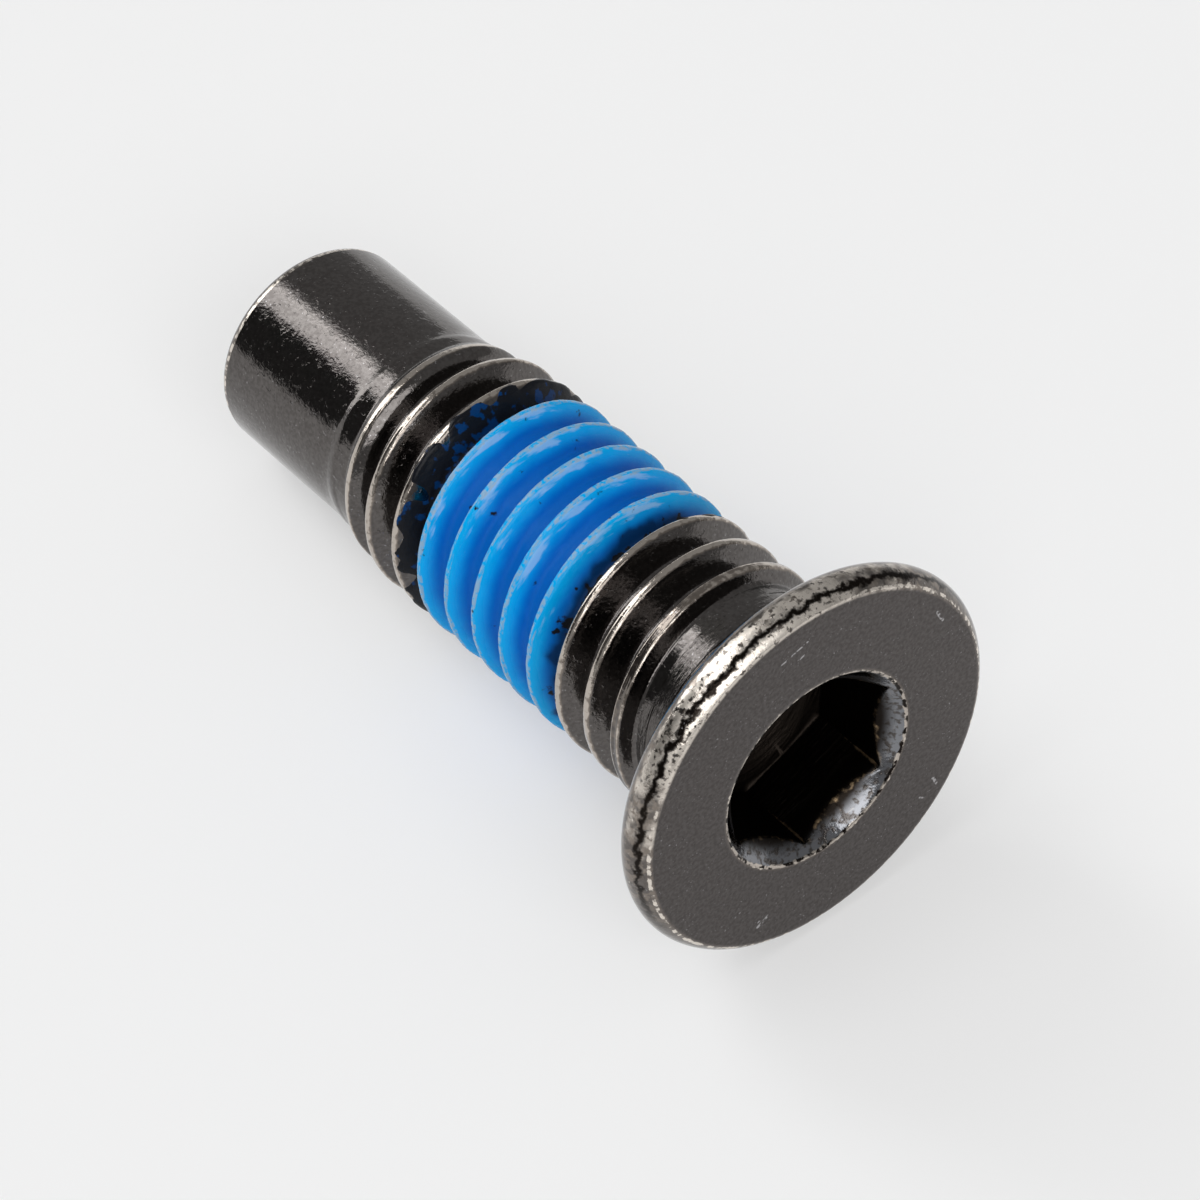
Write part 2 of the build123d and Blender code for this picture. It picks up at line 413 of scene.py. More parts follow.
class RuleTree:
    """A Geometry Nodes tree that winds a grid of vertices round the bolt's axis."""

    def __init__(self, name: str, sizes: dict[str, float]) -> None:
        """Makes the tree with its named inputs.

        Args:
            name: the tree's name.
            sizes: each input's name and value.
        """
        self.tree = bpy.data.node_groups.new(name, "GeometryNodeTree")
        face = self.tree.interface
        face.new_socket("Geometry", in_out="OUTPUT", socket_type="NodeSocketGeometry")
        self.values = {}
        for title, value in sizes.items():
            socket = face.new_socket(title, in_out="INPUT", socket_type="NodeSocketFloat")
            self.values[socket.identifier] = value
        self.group_in = self.tree.nodes.new("NodeGroupInput")

    def input(self, title: str) -> Field:
        """The field of a named input."""
        return Field(self.tree, self.group_in.outputs[title])

    def grid(self, columns: int, rows: int) -> tuple[bpy.types.NodeSocket, Field, Field]:
        """Adds the flat grid that the rule bends.

        Args:
            columns: steps round the axis.
            rows: rows of vertices along it.

        Returns:
            The grid's mesh, the turn of each column, and the row counted from 0.
        """
        sizes = {"Size X": 1.0, "Size Y": 1.0, "Vertices X": columns + 1, "Vertices Y": rows}
        grid = add(self.tree, "GeometryNodeMeshGrid", sizes)
        position = add(self.tree, "GeometryNodeInputPosition")
        parts = add(self.tree, "ShaderNodeSeparateXYZ", {0: position.outputs[0]})
        turn = Field(self.tree, parts.outputs["X"]) + 0.5
        row = (Field(self.tree, parts.outputs["Y"]) + 0.5) * float(rows - 1)
        return grid.outputs["Mesh"], turn + FIRST_COLUMN, row

    def clipped(self, height: Field) -> Field:
        """Keeps a height between the inputs Lowest and Highest, with no sliver next to either."""
        low, high = self.input("Lowest"), self.input("Highest")
        past_low = (height - low).math("GREATER_THAN", SLIVER)
        before_high = (high - height).math("GREATER_THAN", SLIVER)
        height = low + (height - low) * past_low
        return high + (height - high) * before_high

    def store(self, mesh: bpy.types.NodeSocket, name: str, value: Field) -> bpy.types.NodeSocket:
        """Adds a vertex attribute.

        Args:
            mesh: the mesh so far.
            name: the attribute's name.
            value: what it holds.

        Returns:
            The mesh with it.
        """
        inputs = {"Geometry": mesh, "Name": name, "Value": value}
        return add(self.tree, "GeometryNodeStoreNamedAttribute", inputs).outputs[0]

    def on_column(self, turn: Field, rows_up: Field, pitch: Field) -> Field:
        """Height of a vertex, from its turn and how many rows up its column it is.

        Args:
            turn: the column's turn.
            rows_up: the row, counted from 0.
            pitch: what the rows climb in a turn.

        Returns:
            The height, kept between the inputs Lowest and Highest.
        """
        height = self.input("First row") + (rows_up / float(ROWS_PER_PITCH) + turn) * pitch
        return self.clipped(height)

    def around(self, radius: Field, turn: Field, height: Field) -> bpy.types.NodeSocket:
        """The position at a radius, turn and height."""
        angle = turn * math.tau
        place = {"X": radius * angle.math("COSINE"), "Y": radius * angle.math("SINE"), "Z": height}
        return add(self.tree, "ShaderNodeCombineXYZ", place).outputs[0]

    def wind(
        self, mesh: bpy.types.NodeSocket, radius: Field, turn: Field, height: Field
    ) -> bpy.types.NodeSocket:
        """Moves every vertex to its radius, turn and height.

        Args:
            mesh: the grid.
            radius: from the axis.
            turn: round the axis.
            height: along the axis.

        Returns:
            The wound mesh.
        """
        inputs = {"Geometry": mesh, "Position": self.around(radius, turn, height)}
        return add(self.tree, "GeometryNodeSetPosition", inputs).outputs[0]

    def noise(self, scale: float, detail: float, position: bpy.types.NodeSocket) -> Field:
        """Adds a noise between -1 and 1.

        Args:
            scale: bumps per millimetre.
            detail: octaves.
            position: the vector it is read at.

        Returns:
            The noise.
        """
        inputs = {"Vector": position, "Scale": scale, "Detail": detail}
        texture = add(self.tree, "ShaderNodeTexNoise", inputs)
        return Field(self.tree, texture.outputs["Fac"]) * 2.0 - 1.0

    def finish(self, mesh: bpy.types.NodeSocket, material: bpy.types.Material) -> bpy.types.Object:
        """Ends the tree and bakes it to a plain mesh.

        Args:
            mesh: the finished shape in the tree.
            material: its material.

        Returns:
            An object whose mesh is in the bolt's millimetres.
        """
        merge = add(self.tree, "GeometryNodeMergeByDistance", {"Geometry": mesh, "Distance": MERGE_GAP})
        real = add(self.tree, "GeometryNodeRealizeInstances", {0: merge.outputs[0]})
        inputs = {"Geometry": real.outputs[0], "Material": material}
        dressed = add(self.tree, "GeometryNodeSetMaterial", inputs)
        out = self.tree.nodes.new("NodeGroupOutput")
        self.tree.links.new(dressed.outputs[0], out.inputs[0])

        carrier = bpy.data.objects.new(self.tree.name, bpy.data.meshes.new(self.tree.name))
        bpy.context.scene.collection.objects.link(carrier)
        modifier = carrier.modifiers.new("rule", "NODES")
        modifier.node_group = self.tree
        for identifier, value in self.values.items():
            modifier[identifier] = value
        graph = bpy.context.evaluated_depsgraph_get()
        baked = bpy.data.meshes.new_from_object(carrier.evaluated_get(graph))
        carrier.modifiers.remove(modifier)
        carrier.data = baked
        return carrier


# ---------------------------------------------------------------- finishes


class Finish:
    """What the finishes share: a material whose patterns are in the bolt's frame."""

    name = "finish"

    def __init__(self) -> None:
        """Starts the material with one Principled shader."""
        self.material = bpy.data.materials.new(self.name)
        self.material.use_nodes = True
        self.tree = self.material.node_tree
        self.shader = self.tree.nodes["Principled BSDF"]

    def read_place(self) -> None:
        """Reads where a point is: across, upright, along the axis and out from it."""
        self.place = self.in_bolt_frame()
        parts = add(self.tree, "ShaderNodeSeparateXYZ", {0: self.place})
        self.across, self.upright, self.height = (Field(self.tree, end) for end in parts.outputs)
        self.radius = (self.across * self.across + self.upright * self.upright).math("SQRT")

    def facing(self, degrees: float) -> Field:
        """How squarely a place lies on one side of the axis, from -1 to 1."""
        clock = math.radians(degrees)
        return (self.across * math.cos(clock) + self.upright * math.sin(clock)) / self.radius

    def in_bolt_frame(self) -> bpy.types.NodeSocket:
        """Object coordinates, turned and scaled to the bolt's own millimetres."""
        coordinates = add(self.tree, "ShaderNodeTexCoord")
        inputs = {
            "Vector": coordinates.outputs["Object"],
            "Location": BOLT_FRAME.face,
            "Rotation": BOLT_FRAME.euler(),
            "Scale": (MM, MM, MM),
        }
        mapping = add(self.tree, "ShaderNodeMapping", inputs, vector_type="TEXTURE")
        return mapping.outputs[0]

    def noise(
        self,
        vector: bpy.types.NodeSocket,
        scale: float,
        detail: float = 3.0,
        stretch: tuple[float, float, float] = (1.0, 1.0, 1.0),
    ) -> Field:
        """A noise from about 0 to 1.

        Args:
            vector: where it is read.
            scale: bumps per millimetre.
            detail: octaves.
            stretch: how much finer it is along each axis.

        Returns:
            The noise.
        """
        moved = add(self.tree, "ShaderNodeVectorMath", {0: vector, 1: stretch}, operation="MULTIPLY")
        inputs = {"Vector": moved.outputs[0], "Scale": scale, "Detail": detail}
        return Field(self.tree, add(self.tree, "ShaderNodeTexNoise", inputs).outputs["Fac"])

    def attribute(self, wear: Wear) -> Field:
        """A vertex attribute of the piece."""
        node = add(self.tree, "ShaderNodeAttribute", attribute_name=wear.value)
        return Field(self.tree, node.outputs["Fac"])

    def blend(self, share: Field, first: object, second: object) -> bpy.types.NodeSocket:
        """A colour between two.

        Args:
            share: 0 for the first colour and 1 for the second.
            first: a colour or a colour socket.
            second: a colour or a colour socket.

        Returns:
            The blended colour.
        """
        node = add(self.tree, "ShaderNodeMix", {0: share, 6: first, 7: second}, data_type="RGBA")
        return node.outputs[2]

    def bump(self, height: Field, depth: float, strength: float = 1.0) -> None:
        """Raises the surface's shading.

        Args:
            height: the pattern, about 0 to 1.
            depth: the pattern's depth in millimetres.
            strength: the node's strength.
        """
        inputs = {"Height": height, "Distance": depth * MM, "Strength": strength}
        node = add(self.tree, "ShaderNodeBump", inputs)
        self.tree.links.new(node.outputs[0], self.shader.inputs["Normal"])


def rgb(red: float, green: float, blue: float) -> tuple[float, float, float, float]:
    """A colour with full alpha."""
    return (red, green, blue, 1.0)


@dataclass(frozen=True)
class Scratch:
    """A fine scratch on the head's face, in millimetres from its middle."""

    start: tuple[float, float]
    end: tuple[float, float]
    width: float = 0.03

    def closeness(self, across: Field, upright: Field) -> Field:
        """How near a place is to the scratch.

        Args:
            across: the place's distance from the middle along x.
            upright: and square to it.

        Returns:
            1 on the scratch, falling to 0 at its width.
        """
        run = Vector(self.end) - Vector(self.start)
        length = run.length
        way = run / length
        from_start = (across - self.start[0], upright - self.start[1])
        along = (from_start[0] * way.x + from_start[1] * way.y).most(0.0).least(length)
        aside = (from_start[0] - along * way.x, from_start[1] - along * way.y)
        distance = (aside[0] * aside[0] + aside[1] * aside[1]).math("SQRT")
        return (1.0 - distance / self.width).most(0.0)


class BlackNickel(Finish):
    """Black nickel plate over steel, worn pale along its crests and edges, with painted highlights and
    a painted dark reflection on its rim, painted shade inside its socket and painted glints on the
    socket's corners.
    """

    name = "black_nickel_steel"
    plate = rgb(0.095, 0.087, 0.083)
    plate_light = rgb(0.125, 0.116, 0.111)
    face_plate = rgb(0.072, 0.064, 0.061)
    face_light = rgb(0.108, 0.098, 0.095)
    rubbed = rgb(0.22, 0.19, 0.165)
    crest_line = rgb(0.50, 0.45, 0.40)
    # near-black: painted shade inside the socket, the rim's painted dark reflection line, and the dark
    # dashes round the mouth
    worn = rgb(0.74, 0.68, 0.61)
    dark_marks_and_painted_shade = rgb(0.014, 0.011, 0.009)
    speck = rgb(0.5, 0.49, 0.5)
    glint = rgb(0.42, 0.30, 0.18)
    cone = rgb(0.21, 0.215, 0.23)

    socket_radius = 2.36
    socket_depth = 4.0
    mouth_radius = 2.5
    rim_middle = (4.3, 0.48)     # radius and height of the rim's centre
    worn_and_highlit_side = 250.0            # degrees: the side on which the rim is rubbed most, and on which its highlight bands and dark reflection line are painted
    jaggedness = 46.0            # degrees that the bands' edges wander round the rim's section
    relief_depth = 0.008         # mm
    head_height = 0.9            # edges below it are the head's
    dog_end = 17.0               # edges past it are the dog point's
    scratches = (
        Scratch((-0.72, -3.78), (0.0, -3.98)),
        Scratch((-0.3, -3.6), (-0.05, -3.68)),
        Scratch((3.5, -2.4), (3.64, -2.08), 0.05),
        Scratch((3.12, 2.55), (3.24, 2.85), 0.05),
        Scratch((2.71, 2.92), (2.85, 3.0), 0.04),
        Scratch((-1.97, 3.6), (-1.65, 3.45), 0.05),
        Scratch((-1.95, 3.46), (-1.78, 3.38), 0.03),
    )

    def __init__(self) -> None:
        """Builds the material."""
        super().__init__()
        self.read_place()
        self.face = self.height.ramp(0.02, 0.0) * self.radius.ramp(4.7, 4.5)
        self.ragged = self.noise(self.place, 6.0, 8.0)

        fine = self.noise(self.place, 11.0, 3.0)
        grained = self.blend(fine.ramp(0.3, 0.7), self.face_plate, self.face_light)
        plated = self.blend(fine.ramp(0.35, 0.65), self.plate, self.plate_light)
        colour = self.blend(self.face, plated, grained)
        # worn: share of bare metal, including the rim's painted highlight bands
        colour, worn = self.wear(colour)
        colour = self.mark_face(colour)
        colour, inside = self.dress_socket(colour)
        self.tree.links.new(colour, self.shader.inputs["Base Color"])
        self.shader.inputs["Metallic"].default_value = 1.0
        rough = 0.05 + fine * 0.09 + self.face * 0.3 + worn * 0.22 + inside * 0.3
        plug(self.tree, rough, self.shader.inputs["Roughness"])
        self.roughen()

    def wear(self, colour: bpy.types.NodeSocket) -> tuple[bpy.types.NodeSocket, Field]:
        """Adds the rubbed and worn crests and edges, the rim's highlight bands, which are rubbed metal
        and painted highlights both, and the painted dark reflection line between them.

        Args:
            colour: the plate's colour.

        Returns:
            The colour with the wear and the painted light, and the share of bare metal, in which the
            rim's painted highlight bands count but not its painted dark line.
        """
        bite = self.ragged - 0.5
        crest = self.attribute(Wear.CREST)
        on_head = self.height.ramp(self.head_height, self.head_height - 0.1)
        on_dog = self.height.ramp(self.dog_end, self.dog_end + 0.5)
        edge = self.attribute(Wear.EDGE) * on_head.most(on_dog)
        edge_worn = (edge + bite * 1.6).ramp(0.78, 1.0)
        # bands: rubbed metal laid where highlights fall, partly painted highlight; line: a painted dark
        # reflection
        bands, line, mottled = self.rim_bands()
        rubbed = (crest + bite * 0.9).ramp(0.15, 0.6).most(edge.ramp(0.3, 0.8) * 0.5).most(mottled)
        colour = self.blend(rubbed, colour, self.rubbed)
        colour = self.blend((crest + bite * 1.7).ramp(0.6, 0.95), colour, self.crest_line)
        worn = edge_worn.most(bands)
        colour = self.blend(worn, colour, self.worn)
        # the rim's painted dark reflection line is laid on in near-black, and kept out of the bare
        # metal's share
        return self.blend(line, colour, self.dark_marks_and_painted_shade), worn * (1.0 - line)

    def rim_bands(self) -> tuple[Field, Field, Field]:
        """The rim's two bands of rubbed bare metal, laid where highlights fall on one side and so
        partly painted highlights, the painted dark reflection line between them, and its mottled rest.
        """
        up, out = self.height - self.rim_middle[1], self.radius - self.rim_middle[0]
        jagged = (self.noise(self.place, 4.0, 5.0) - 0.5) * self.jaggedness
        angle = up.math("ARCTAN2", out) * math.degrees(1) + jagged
        on_rim = self.radius.ramp(4.5, 4.58)
        side = self.facing(self.worn_and_highlit_side)
        patchy = side + (self.noise(self.place, 2.2, 7.0) - 0.5) * 1.5
        # the two bands sit where the lights reflect on the worn side: rubbed metal and painted
        # highlights both
        inner = angle.ramp(-30.0, -38.0)
        outer = angle.ramp(-28.0, -20.0) * angle.ramp(24.0, 8.0)
        # painted dark reflection: a near-black line between the bands, on the highlit side only
        line = angle.ramp(-40.0, -31.0) * angle.ramp(-17.0, -26.0) * on_rim * side.ramp(-0.4, 0.4)
        speckled = self.noise(self.place, 9.0, 5.0).ramp(0.34, 0.48)
        bands = (inner + outer) * patchy.ramp(0.45, 0.95) * speckled * on_rim
        mottled = patchy.ramp(-0.5, 0.3) * self.noise(self.place, 5.0, 6.0).ramp(0.42, 0.58) * on_rim
        return bands, line, mottled

    def mark_face(self, colour: bpy.types.NodeSocket) -> bpy.types.NodeSocket:
        """Adds the specks and the scratches on the head's face."""
        specks = self.noise(self.place, 16.0, 2.0).ramp(0.64, 0.72)
        sparse = self.noise(self.place, 2.3, 2.0).ramp(0.45, 0.62)
        marks = specks * sparse * 0.5
        scratched = self.scratches[0].closeness(self.across, self.upright)
        for scratch in self.scratches[1:]:
            scratched = scratched.most(scratch.closeness(self.across, self.upright))
        broken = self.noise(self.place, 9.0, 2.0).ramp(0.46, 0.56)
        marks = marks.most(scratched.ramp(0.0, 0.5) * broken * self.face * 0.8)
        return self.blend(marks, colour, self.speck)

    def dress_socket(self, colour: bpy.types.NodeSocket) -> tuple[bpy.types.NodeSocket, Field]:
        """Adds the lead-in cone, the broken line round its mouth, the painted shade inside and the
        painted glints on its corners.

        Args:
            colour: the colour so far.

        Returns:
            The colour and the share of painted shade inside.
        """
        bite = self.ragged - 0.5
        spots = self.noise(self.place, 7.0, 4.0)
        in_cone = self.radius.ramp(self.mouth_radius + 0.01, self.mouth_radius - 0.01)
        in_cone = in_cone * self.height.ramp(0.6, 0.5)
        colour = self.blend(in_cone, colour, self.blend(spots.ramp(0.48, 0.62), self.cone, self.plate))
        from_mouth = (self.radius - self.mouth_radius).abs() * self.height.ramp(0.2, 0.1)
        near_mouth = (from_mouth + bite * 0.10).ramp(0.045, 0.025) * self.height.ramp(0.2, 0.1)
        dashes = self.noise(self.place, 4.5, 6.0).ramp(0.45, 0.53)
        colour = self.blend(near_mouth, colour, self.blend(dashes, self.dark_marks_and_painted_shade, self.crest_line))

        # painted shade: the inside of the socket is painted near-black, where shade falls in the recess
        inside = self.radius.ramp(self.socket_radius + 0.01, self.socket_radius)
        deep = self.height.ramp(self.socket_depth + 0.1, self.socket_depth)
        inside = inside * deep * self.height.ramp(0.1, 0.4)
        colour = self.blend(inside, colour, self.dark_marks_and_painted_shade)
        # painted glints: brown-gold lines on the hexagon's corners and the top of its walls, inside the
        # painted shade, where the key has also rubbed
        rubbed = (self.attribute(Wear.EDGE) + bite).ramp(0.3, 0.7) * inside
        return self.blend(rubbed, colour, self.glint), inside

    def roughen(self) -> None:
        """Adds the plate's grain, its pits and the lathe's lines round the neck."""
        grain = self.noise(self.place, 12.0, 4.0)
        swell = self.noise(self.place, 3.5, 3.0)
        pits = self.noise(self.place, 7.0, 4.0).ramp(0.58, 0.72)
        neck = self.height.ramp(0.9, 1.1) * self.height.ramp(2.9, 2.6) * self.radius.ramp(3.5, 3.1)
        lines = self.noise(self.place, 1.5, 3.0, (1.0, 1.0, 10.0))
        relief = grain * 0.55 + swell * 0.8 + lines * neck * 4.0 - pits * 0.45
        self.bump(relief, self.relief_depth)


class LockingFilm(Finish):
    """Dried threadlocker: a saturated blue skin, thin and pale over the crests, with painted light
    towards the crests, painted shade in the grooves and painted highlight streaks on one side's
    shoulders.
    """

    name = "threadlocker"
    # deep: the grooves' blue with painted shade; bright: the blue near the crests with painted light
    deep = rgb(0.0, 0.145, 0.56)
    bright = rgb(0.0, 0.39, 0.84)
    # the colour of the painted highlight streaks on the shoulders
    pale = rgb(0.28, 0.52, 0.86)
    bare = rgb(0.34, 0.42, 0.50)
    navy = rgb(0.0, 0.034, 0.13)
    stain = rgb(0.006, 0.007, 0.010)
    highlit_side = 256.0        # degrees: the side on whose shoulders highlight streaks are painted
    relief_depth = 0.02          # mm

    def __init__(self) -> None:
        """Builds the material."""
        super().__init__()
        self.read_place()
        place = self.place
        crest = self.attribute(Wear.CREST)
        edge = self.attribute(Wear.EDGE)
        side = self.facing(self.highlit_side).ramp(0.35, 0.9)
        shoulder = self.attribute(Wear.SHOULDER) * side
        cloud = self.noise(place, 1.1, 4.0) - 0.5
        # painted light and shade: lighter towards the crests, darker down in the grooves
        colour = self.blend((crest + cloud * 0.4).ramp(0.1, 0.95), self.deep, self.bright)
        streak = self.noise(place, 1.1, 6.0, (1.0, 1.0, 9.0)) - 0.5
        # painted highlights: pale streaks along the shoulders, on one side only
        painted_streak_highlight = (shoulder + streak * 3.0).ramp(0.76, 1.2)
        colour = self.blend(painted_streak_highlight * 0.8, colour, self.pale)
        bare = (crest + streak * 0.4).ramp(0.96, 1.02) * self.noise(place, 8.0, 4.0).ramp(0.36, 0.56)
        colour = self.blend(bare * 0.7, colour, self.bare)
        colour = self.blend(edge.ramp(0.1, 0.6), colour, self.navy)
        blotch = self.noise(place, 2.6, 6.0) - 0.5
        colour = self.blend((blotch * 5.0 + edge).ramp(0.86, 1.16), colour, self.stain)
        self.tree.links.new(colour, self.shader.inputs["Base Color"])
        self.shader.inputs["Specular IOR Level"].default_value = 0.13
        plug(self.tree, 0.48 + cloud * 0.2 - crest * 0.3, self.shader.inputs["Roughness"])
        self.bump(self.noise(place, 3.0, 4.0, (1.0, 1.0, 2.5)), self.relief_depth)


class Paper(Finish):
    """The plain pale floor, which a viewer and shiny metal see partly by its own light."""

    name = "pale_floor"
    tone = 0.88
    glow = 0.98
    glow_share = 0.42

    def __init__(self) -> None:
        """Builds the material."""
        super().__init__()
        self.shader.inputs["Base Color"].default_value = rgb(self.tone, self.tone, self.tone)
        self.shader.inputs["Roughness"].default_value = 0.9
        self.shader.inputs["Specular IOR Level"].default_value = 0.0
        rays = add(self.tree, "ShaderNodeLightPath")
        seen = Field(self.tree, rays.outputs["Is Camera Ray"])
        seen = seen.most(Field(self.tree, rays.outputs["Is Glossy Ray"]))
        light = add(self.tree, "ShaderNodeEmission", {"Strength": self.glow})
        ends = {0: seen * self.glow_share, 1: self.shader.outputs[0], 2: light.outputs[0]}
        mix = add(self.tree, "ShaderNodeMixShader", ends)
        output = self.tree.nodes["Material Output"]
        self.tree.links.new(mix.outputs[0], output.inputs["Surface"])


# ---------------------------------------------------------------- pieces


def merged(name: str, parts: list[bpy.types.Object], material: bpy.types.Material) -> bpy.types.Object:
    """Joins parts into one closed mesh, laid where the bolt lies.

    Args:
        name: the new object's name.
        parts: objects whose meshes are in the bolt's millimetres. They are removed.
        material: the piece's material.

    Returns:
        The piece, at the origin.
    """
    whole = bmesh.new()
    for part in parts:
        whole.from_mesh(part.data)
        bpy.data.objects.remove(part)
    bmesh.ops.remove_doubles(whole, verts=whole.verts, dist=MERGE_GAP)
    bmesh.ops.dissolve_degenerate(whole, edges=whole.edges, dist=MERGE_GAP / 2)
    mesh = bpy.data.meshes.new(name)
    whole.to_mesh(mesh)
    whole.free()
    mesh.transform(BOLT_FRAME.matrix())
    mesh.materials.clear()
    mesh.materials.append(material)
    mesh.polygons.foreach_set("use_smooth", [True] * len(mesh.polygons))
    mesh.polygons.foreach_set("material_index", [0] * len(mesh.polygons))
    mesh.update()
    piece = bpy.data.objects.new(name, mesh)
    bpy.context.scene.collection.objects.link(piece)
    return piece


def column_angles() -> np.ndarray:
    """Angle of every column of vertices, in degrees."""
    return (FIRST_COLUMN + np.arange(COLUMNS) / COLUMNS) * 360


def turned(name: str, rings: list[np.ndarray], wear: list[np.ndarray]) -> bpy.types.Object:
    """A surface through rings of vertices.

    Args:
        name: the object's name.
        rings: for each ring, its radius and height in every column.
        wear: each ring's edge wear in every column.

    Returns:
        An object whose mesh is in the bolt's millimetres.
    """
    angles = np.radians(column_angles())
    stack = np.array(rings)
    radii, heights = stack[:, 0], stack[:, 1]
    points = np.stack([radii * np.cos(angles), radii * np.sin(angles), heights], -1)
    mesh = bpy.data.meshes.new(name)
    faces = []
    for ring in range(len(rings) - 1):
        for column in range(COLUMNS):
            after = (column + 1) % COLUMNS
            here, there = ring * COLUMNS, (ring + 1) * COLUMNS
            faces.append((here + column, here + after, there + after, there + column))
    mesh.from_pydata(points.reshape(-1, 3).tolist(), [], faces)
    values = np.array(wear, np.float32).ravel()
    mesh.attributes.new(Wear.EDGE.value, "FLOAT", "POINT").data.foreach_set("value", values)
    part = bpy.data.objects.new(name, mesh)
    bpy.context.scene.collection.objects.link(part)
    return part


@dataclass
class Profile:
    """Half section of a turned part, ring by ring from the socket's bottom outwards."""

    rings: list[np.ndarray] = field(default_factory=list)
    wear: list[np.ndarray] = field(default_factory=list)

    def ring(
        self, radius: float | np.ndarray, height: float | np.ndarray, wear: float | np.ndarray = 0.0
    ) -> None:
        """Adds one ring, whose radius, height and wear may differ from column to column."""
        columns = np.ones(COLUMNS)
        self.rings.append(np.array([radius * columns, height * columns]))
        self.wear.append(wear * columns)

    def line(self, radius: float, height: float, steps: int, wear: float = 0.0) -> None:
        """Adds rings on a straight line from the last ring.

        Args:
            radius: where the line ends.
            height: where the line ends.
            steps: rings to add.
            wear: their edge wear.
        """
        start = self.rings[-1].copy()
        for step in range(1, steps + 1):
            share = step / steps
            ring_radius = start[0] + (radius - start[0]) * share
            ring_height = start[1] + (height - start[1]) * share
            self.ring(ring_radius, ring_height, wear)

    def arc(
        self,
        centre: tuple[float, float],
        radius: float,
        angles: tuple[float, float],
        steps: int,
        wear: float = 0.0,
    ) -> None:
        """Adds rings on an arc.

        Args:
            centre: radius and height of the arc's centre.
            radius: of the arc.
            angles: from square out towards the tip, in degrees, start and end.
            steps: rings to add after the first.
            wear: their edge wear.
        """
        for angle in np.radians(np.linspace(angles[0], angles[1], steps + 1)):
            ring_radius = centre[0] + radius * math.cos(angle)
            self.ring(ring_radius, centre[1] + radius * math.sin(angle), wear)


@dataclass(frozen=True)
class ThreadedShank:
    """The threaded length, wound by its rule."""

    thread: Thread = THREAD
    nick_depth: float = 0.042

    def build(self, material: bpy.types.Material) -> bpy.types.Object:
        """Winds the thread.

        Args:
            material: the steel's finish.

        Returns:
            Its surface, in the bolt's millimetres.
        """
        thread = self.thread
        first, last = thread.first_height, thread.last_height
        sizes = thread.sizes() | {
            "First row": thread.first_row(first),
            "Lowest": first,
            "Highest": last,
            "Nick depth": self.nick_depth,
        }
        rule = RuleTree("threaded_shank", sizes)
        mesh, turn, row = rule.grid(COLUMNS, thread.rows(first, last))
        height = rule.on_column(turn, row, rule.input("Pitch"))
        shape = thread.fields(rule, height, turn)
        position = rule.around(rule.input("Crest radius"), turn, height)
        nicks = rule.noise(2.6, 3.0, position).most(0.1) * rule.input("Nick depth")
        radius = shape["radius"] - nicks * shape["crest"]
        flat = rule.store(mesh, Wear.CREST.value, shape["crest"])
        return rule.finish(rule.wind(flat, radius, turn, height), material)


@dataclass(frozen=True)
class Head:
    """The low head with its rounded rim, its underside and the filleted neck."""

    diameter: float = 9.7
    rim_radius: float = 0.55
    rim_setback: float = 0.48
    underside_angle: float = 15.0
    neck_diameter: float = 5.26
    neck_fillet: float = 1.0
    thread: Thread = THREAD

    def outline(self, profile: Profile, mouth_radius: float) -> None:
        """Adds the rings from the socket's mouth to the thread.

        Args:
            profile: the half section to add to.
            mouth_radius: where the face begins; not used.
        """
        centre = (self.diameter / 2 - self.rim_radius, self.rim_setback)
        face_angle = -math.degrees(math.asin(self.rim_setback / self.rim_radius))
        face_edge = centre[0] + self.rim_radius * math.cos(math.radians(face_angle))
        profile.line(face_edge - 0.06, 0.0, 14)
        profile.line(face_edge - 0.02, 0.004, 2, 0.5)
        profile.arc(centre, self.rim_radius, (face_angle + 3, face_angle + 9), 2, 0.9)
        profile.arc(centre, self.rim_radius, (face_angle + 12, 90 - self.underside_angle), 30, 0.55)

        slope = math.radians(self.underside_angle)
        neck = self.neck_diameter / 2
        rim_end = profile.rings[-1][:, 0]
        corner = rim_end[1] + (rim_end[0] - neck) * math.tan(slope)
        tangent = self.neck_fillet * math.tan((math.pi / 2 - slope) / 2)
        profile.line(neck + tangent * math.cos(slope), corner - tangent * math.sin(slope), 4)
        fillet = (neck + self.neck_fillet, corner + tangent)
        profile.arc(fillet, self.neck_fillet, (270 - self.underside_angle, 180), 14)
        profile.line(neck, self.thread.first_height, 2)
        profile.ring(self.thread.land_radius, self.thread.first_height)


